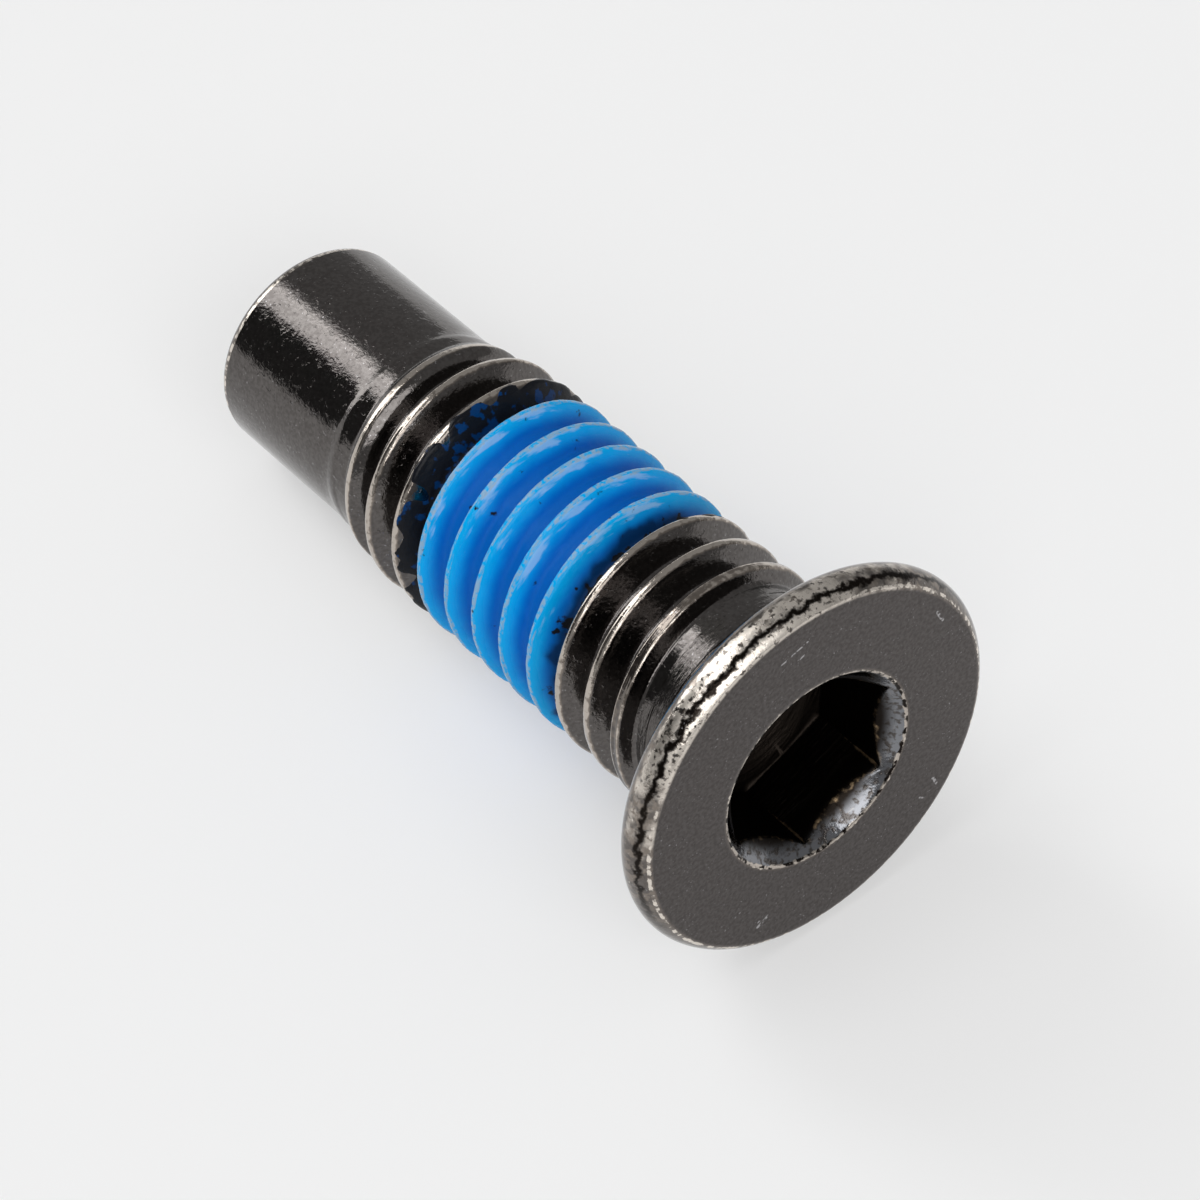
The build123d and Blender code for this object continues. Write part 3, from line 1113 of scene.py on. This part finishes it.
@dataclass(frozen=True)
class Socket:
    """The hexagon socket with its lead-in cone and drilled bottom."""

    key_size: float = 4.0
    clearance: float = 0.04
    depth: float = 2.3
    mouth_diameter: float = 5.0
    drill_angle: float = 59.0
    edge_break: float = 0.03
    corner_wear: float = 1.5     # degrees that the key has rubbed on each side of a corner, where glints are painted
    mouth_edge: float = 0.02     # half the width of the broken edge round the mouth
    bottom_step: float = 0.05    # from the bottom to the wall's first ring
    wall_rings: int = 12
    cone_rings: int = 6
    rounding: float = 1e-6       # degrees that keep a corner's column on its own side

    def outline(self, profile: Profile) -> None:
        """Adds the rings from the drilled point to the face.

        Args:
            profile: the half section to add to.
        """
        flat = (self.key_size + self.clearance) / 2
        half_step = HEXAGON_STEP / 2
        from_flat = (column_angles() - SOCKET_CLOCK + self.rounding) % HEXAGON_STEP - half_step
        wall = flat / np.cos(np.radians(from_flat))
        mouth = self.mouth_diameter / 2
        point = self.depth + flat / math.tan(math.radians(self.drill_angle))
        profile.ring(0.0, point)
        profile.line(flat, self.depth, 8)
        corner = np.clip(1 - (half_step - np.abs(from_flat)) / self.corner_wear, 0, 1)
        profile.ring(wall, self.depth)
        cone_height = mouth - wall
        deep = self.depth - self.bottom_step
        profile.ring(wall, deep)
        for step in range(1, self.wall_rings + 1):
            share = step / self.wall_rings
            height = deep + (cone_height + self.edge_break - deep) * share
            profile.ring(wall, height, 0.4 if step == self.wall_rings else corner * share)
        profile.ring(wall + self.edge_break, cone_height - self.edge_break, 0.3)
        cone_start, cone_end = wall + self.edge_break, mouth - self.mouth_edge
        for step in range(1, self.cone_rings + 1):
            radius = cone_start + (cone_end - cone_start) * (step / self.cone_rings)
            profile.ring(radius, mouth - radius, 0.15)
        profile.ring(mouth + self.mouth_edge, 0.0, 0.9)


@dataclass(frozen=True)
class DogPoint:
    """The plain point past the thread, with its rounded end."""

    diameter: float = 5.24
    length: float = 18.7
    edge_radius: float = 0.35
    thread: Thread = THREAD

    def outline(self, profile: Profile) -> None:
        """Adds the rings from the thread to the middle of the end.

        Args:
            profile: the half section to add to.
        """
        radius = self.diameter / 2
        profile.ring(radius, self.thread.last_height)
        profile.line(radius, self.length - self.edge_radius, 16)
        centre = (radius - self.edge_radius, self.length - self.edge_radius)
        profile.arc(centre, self.edge_radius, (5, 20), 3, 0.9)
        profile.arc(centre, self.edge_radius, (25, 90), 9, 0.4)
        profile.line(0.0, self.length, 8)


@dataclass(frozen=True)
class Bolt:
    """The bolt itself, one closed piece."""

    head: Head = Head()
    socket: Socket = Socket()
    shank: ThreadedShank = ThreadedShank()
    dog: DogPoint = DogPoint()

    def build(self, steel: BlackNickel) -> bpy.types.Object:
        """Builds the bolt and puts it in the frame.

        Args:
            steel: its finish.

        Returns:
            The piece.
        """
        front = Profile()
        self.socket.outline(front)
        self.head.outline(front, self.socket.mouth_diameter / 2)
        back = Profile()
        self.dog.outline(back)
        parts = [
            turned("head_part", front.rings, front.wear),
            self.shank.build(steel.material),
            turned("dog_part", back.rings, back.wear),
        ]
        piece = merged("stem_bolt", parts, steel.material)
        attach(piece, "root")
        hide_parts("bolt")
        return piece


@dataclass(frozen=True)
class Film:
    """The threadlocking film: a skin that fills the roots and thins over the crests."""

    thread: Thread = THREAD
    start: float = 5.6
    end: float = 11.22
    fade: float = 0.5            # past each end, where the film lies inside the steel
    fill: float = 0.17           # on the root of the groove
    fill_round: float = 0.10     # where the fill meets the flanks
    skin: float = 0.016          # over the crests
    unevenness: float = 0.02     # of the skin
    worn_unevenness: float = 0.006
    under: float = 0.06          # its inner face lies this far inside the steel
    edge_fade: float = 0.05      # length over which its two faces close at each end
    hidden_gap: float = 0.03     # between its two faces where it is worn away, inside the steel
    brushed_from: float = 242.0  # degrees: its ends follow the thread on this side
    brush_swing: float = 0.2     # how far its ends stray from square on the other sides

    def build(self, finish: LockingFilm) -> bpy.types.Object:
        """Winds the film's two faces and joins them.

        Args:
            finish: the film's finish.

        Returns:
            The piece.
        """
        outer = self.face(finish, 1.0)
        inner = self.face(finish, 0.0)
        inner.data.flip_normals()
        piece = merged("threadlocking_film", [outer, inner], finish.material)
        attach(piece, "root")
        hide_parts("thread_patch")
        return piece

    def face(self, finish: LockingFilm, outside: float) -> bpy.types.Object:
        """One face of the film.

        Args:
            finish: the film's finish.
            outside: 1 for the outer face and 0 for the one in the steel.

        Returns:
            Its surface, in the bolt's millimetres.
        """
        thread = self.thread
        first, last = self.start - self.fade, self.end + self.fade
        sizes = thread.sizes() | {
            "Outside": outside,
            "First row": thread.first_row(first),
            "Lowest": first,
            "Highest": last,
            "Fill": self.fill,
            "Skin": self.skin,
            "Unevenness": self.unevenness,
            "Under": self.under,
            "Hidden gap": self.hidden_gap,
        }
        rule = RuleTree("film_face", sizes)
        mesh, turn, row = rule.grid(COLUMNS, thread.rows(first, last))
        height = rule.on_column(turn, row, rule.input("Pitch"))
        shape = thread.fields(rule, height, turn)
        position = rule.around(rule.input("Crest radius"), turn, height)
        reach = self.reach(rule, turn, height, position)
        radius = self.thickness(rule, shape["radius"], height, position, reach)

        full = thread.depth - self.fill
        # crest: how near the film's face is to the crest, which the finish paints lighter, and darker
        # away from it, and wears bare at the top
        crest = (1.0 - (rule.input("Crest radius") - radius) / full).most(0.0)
        behind = shape["offset"] * -1.0
        # shoulder: the head-side shoulder of each crest, where the finish paints highlight streaks
        shoulder = behind.ramp(0.02, 0.06) * behind.ramp(0.26, 0.12)
        thinned = (1.0 - reach["body"]) * 0.6 + reach["worn off"]
        flat = rule.store(mesh, Wear.CREST.value, crest)
        flat = rule.store(flat, Wear.SHOULDER.value, shoulder)
        flat = rule.store(flat, Wear.EDGE.value, thinned)
        return rule.finish(rule.wind(flat, radius, turn, height), finish.material)

    def reach(
        self, rule: RuleTree, turn: Field, height: Field, position: bpy.types.NodeSocket
    ) -> dict[str, Field]:
        """How far the film reaches along the thread.

        Args:
            rule: the tree.
            turn: turns round the axis.
            height: distance from the face.
            position: where the noises are read.

        Returns:
            The share of its full body, whether it is there at all, how worn off it is, and
            the noise that makes it uneven.
        """
        uneven = rule.noise(1.3, 3.0, position)
        from_brush = turn * math.tau - math.radians(self.brushed_from)
        along = height - from_brush.math("SINE") * self.brush_swing + uneven * 0.1
        body = along.ramp(self.start + 0.35, self.start + 0.75)
        body = body * along.ramp(self.end - 0.3, self.end - 0.75)
        ragged = along + rule.noise(1.5, 1.0, position) * 0.4
        there = ragged.ramp(self.start - 0.2, self.start + 0.1)
        there = there * ragged.ramp(self.end + 0.3, self.end + 0.08)
        worn_off = ragged.ramp(self.start + 0.6, self.start + 0.1)
        worn_off = worn_off.most(ragged.ramp(self.end - 0.45, self.end + 0.08))
        return {"body": body, "there": there, "worn off": worn_off, "uneven": uneven}

    def thickness(
        self,
        rule: RuleTree,
        steel: Field,
        height: Field,
        position: bpy.types.NodeSocket,
        reach: dict[str, Field],
    ) -> Field:
        """Lays the film on the steel, thick in the roots and thin over the crests.

        Args:
            rule: the tree.
            steel: the thread's radius.
            height: distance from the face.
            position: where the noise is read.
            reach: what the method of that name gives.

        Returns:
            The radius of the face that the input Outside chooses.
        """
        fine = rule.noise(4.0, 2.0, position)
        skinned = steel + rule.input("Skin")
        filling = rule.input("Root radius") + rule.input("Fill") * (1.0 + reach["uneven"] * 0.3)
        filled = (skinned + fine * rule.input("Unevenness")).most(filling, self.fill_round)
        thin = skinned + fine * self.worn_unevenness
        filled = thin + (filled - thin) * reach["body"]
        sunk = steel - rule.input("Under")
        from_first = height - rule.input("Lowest")
        from_last = rule.input("Highest") - height
        from_end = (from_first.least(from_last) / self.edge_fade).least(1.0)
        outer = sunk + (filled - sunk) * reach["there"] * from_end
        inner = sunk - from_end * rule.input("Hidden gap")
        return inner + (outer - inner) * rule.input("Outside")


# ---------------------------------------------------------------- studio


def towards(azimuth: float, elevation: float) -> Vector:
    """The direction at an azimuth from +Y towards +X and an elevation, in degrees."""
    turn, rise = math.radians(azimuth), math.radians(elevation)
    return Vector(
        (math.sin(turn) * math.cos(rise), math.cos(turn) * math.cos(rise), math.sin(rise))
    )


@dataclass(frozen=True)
class Softbox:
    """A studio light that faces the bolt."""

    name: str
    azimuth: float              # from +Y towards +X, degrees
    elevation: float
    width: float                # degrees that it covers, seen from the bolt
    height: float
    level: float                # its brightness, where 1 is white
    distance: float = 1.2

    def build(self, target: Vector) -> None:
        """Makes the light.

        Args:
            target: what it faces.
        """
        light = bpy.data.lights.new(self.name, "AREA")
        light.shape = "RECTANGLE"
        light.size = 2 * self.distance * math.tan(math.radians(self.width / 2))
        light.size_y = 2 * self.distance * math.tan(math.radians(self.height / 2))
        light.energy = self.level * math.pi * light.size * light.size_y
        away = towards(self.azimuth, self.elevation)
        lamp = bpy.data.objects.new(self.name, light)
        lamp.location = target + away * self.distance
        lamp.rotation_euler = away.to_track_quat("Z", "Y").to_euler()
        lamp.visible_camera = False
        bpy.context.scene.collection.objects.link(lamp)


@dataclass(frozen=True)
class Studio:
    """Floor, surroundings and lights."""

    floor_size: float = 3.0
    surroundings: float = 0.34
    dark_side: float = 0.08
    dark_azimuth: float = -46.0  # the unlit side of the room, from +Y towards +X
    dark_elevation: float = 20.0
    dark_reach: float = 24.0     # degrees from its middle to its edge
    dark_core: float = 0.9       # share of that reach that is fully dark
    softboxes: tuple[Softbox, ...] = (
        Softbox("back_softbox", -17, 28, 16, 56, 3.1),
        Softbox("back_softbox_edge", -5.5, 28, 7, 56, 1.8),
        Softbox("top_softbox", -65, 62, 36, 22, 3.0),
        Softbox("front_softbox", -155, 40, 50, 32, 2.6),
    )

    def build(self) -> None:
        """Builds the floor, the world and the lights."""
        half = self.floor_size / 2
        mesh = bpy.data.meshes.new("floor")
        corners = [(-half, -half, 0), (half, -half, 0), (half, half, 0), (-half, half, 0)]
        mesh.from_pydata(corners, [], [(0, 1, 2, 3)])
        mesh.materials.append(Paper().material)
        floor = bpy.data.objects.new("floor", mesh)
        bpy.context.scene.collection.objects.link(floor)
        world = bpy.data.worlds.new("surroundings")
        world.use_nodes = True
        self.light_room(world.node_tree)
        bpy.context.scene.world = world
        middle = (CAD_BOX[0] + CAD_BOX[1]) / 2
        for softbox in self.softboxes:
            softbox.build(middle)

    def light_room(self, tree: bpy.types.NodeTree) -> None:
        """Makes the room's light, plain but for one unlit side.

        Args:
            tree: the world's nodes.
        """
        direction = add(tree, "ShaderNodeTexCoord").outputs["Generated"]
        middle = towards(self.dark_azimuth, self.dark_elevation)
        product = add(tree, "ShaderNodeVectorMath", {0: direction, 1: middle}, operation="DOT_PRODUCT")
        closeness = Field(tree, product.outputs["Value"])
        edge = math.cos(math.radians(self.dark_reach))
        core = math.cos(math.radians(self.dark_reach * self.dark_core))
        dark = closeness.ramp(edge, core)
        level = self.surroundings + dark * (self.dark_side - self.surroundings)
        plug(tree, level, tree.nodes["Background"].inputs["Strength"])
        tree.nodes["Background"].inputs["Color"].default_value = rgb(1, 1, 1)


@dataclass(frozen=True)
class View:
    """The camera."""

    place: tuple[float, float, float] = (-43.2624, -56.9829, 90.5244)   # mm
    azimuth: float = -38.0061
    elevation: float = 51.1017
    roll: float = -0.698
    lens: float = 149.83         # mm, on the sensor below
    sensor: float = 36.0
    nearest: float = 0.001       # m
    farthest: float = 10.0

    def build(self) -> None:
        """Places the camera and makes it the scene's."""
        data = bpy.data.cameras.new("camera")
        data.lens = self.lens
        data.sensor_width = self.sensor
        data.clip_start = self.nearest
        data.clip_end = self.farthest
        camera = bpy.data.objects.new("camera", data)
        back = towards(180 - self.azimuth, self.elevation)
        look = (-back).to_track_quat("-Z", "Y").to_matrix()
        camera.matrix_world = Matrix.Translation(Vector(self.place) * MM) @ (
            look @ Matrix.Rotation(math.radians(self.roll), 3, "Z")
        ).to_4x4()
        bpy.context.scene.collection.objects.link(camera)
        bpy.context.scene.camera = camera


def main() -> None:
    """Builds every piece in order."""
    logging.basicConfig(level=logging.INFO, format="%(name)s: %(message)s")
    bpy.context.scene.view_settings.view_transform = "Standard"
    bolt = Bolt().build(BlackNickel())
    log.info("%s: %d faces", bolt.name, len(bolt.data.polygons))
    film = Film().build(LockingFilm())
    log.info("%s: %d faces", film.name, len(film.data.polygons))
    Studio().build()
    View().build()


if __name__ == "__main__":
    main()
